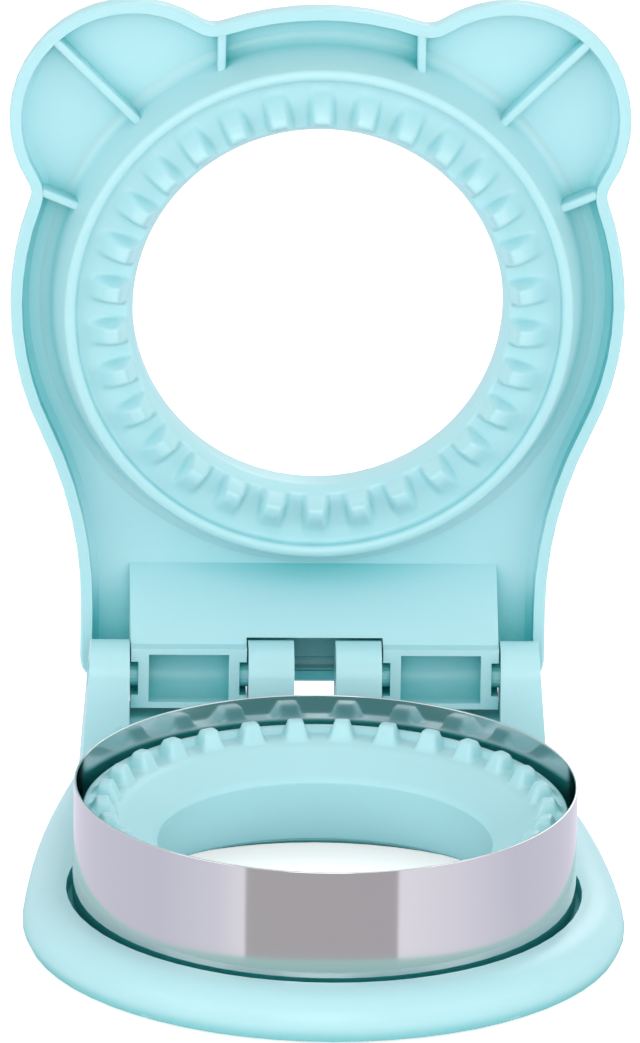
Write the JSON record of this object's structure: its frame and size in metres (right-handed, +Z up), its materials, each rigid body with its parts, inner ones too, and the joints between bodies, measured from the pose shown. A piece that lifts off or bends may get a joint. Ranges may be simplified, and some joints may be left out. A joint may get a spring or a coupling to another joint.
{
  "type": "sandwich cutter and sealer",
  "caption": "Hinged moulded sandwich cutter: a steel cutting band round a toothed crimp ring on the base, and an eared lid with a toothed press ring.",
  "frame": {"origin": "middle of the footprint, on the surface that the foot pads stand on, with the lid open", "axes": "+Z up, the front of the base towards -Y, the hinge line along X"},
  "size_m": [0.1184, 0.1524, 0.1559],
  "materials": {
    "aqua_moulded_plastic": "satin injection-moulded pale aqua plastic",
    "polished_stainless_steel": "polished stainless strip with a bright edge",
    "zinc_plated_steel": "zinc-plated screws",
    "pale_grey_rubber": "soft matte pads"
  },
  "bodies": {
    "base": {"base_shell": "aqua_moulded_plastic", "cutter_ring": "polished_stainless_steel", "crimp_ring": "aqua_moulded_plastic", "base_screw_1": "zinc_plated_steel", "base_screw_2": "zinc_plated_steel", "base_screw_3": "zinc_plated_steel", "base_screw_4": "zinc_plated_steel", "foot_1": "pale_grey_rubber", "foot_2": "pale_grey_rubber", "foot_3": "pale_grey_rubber", "foot_4": "pale_grey_rubber", "hinge_pin_left_outer": "aqua_moulded_plastic", "hinge_pin_left_inner": "aqua_moulded_plastic", "hinge_pin_right_inner": "aqua_moulded_plastic", "hinge_pin_right_outer": "aqua_moulded_plastic"},
    "lid": {"lid_shell": "aqua_moulded_plastic", "lid_press_ring": "aqua_moulded_plastic"}
  },
  "joints": [
    {"name": "lid_hinge", "type": "hinge", "parent": "base", "child": "lid", "pos_m": [0, 0.05079, 0.0266], "axis": [1, 0, 0], "range_deg": [0, 92.7]}
  ]
}
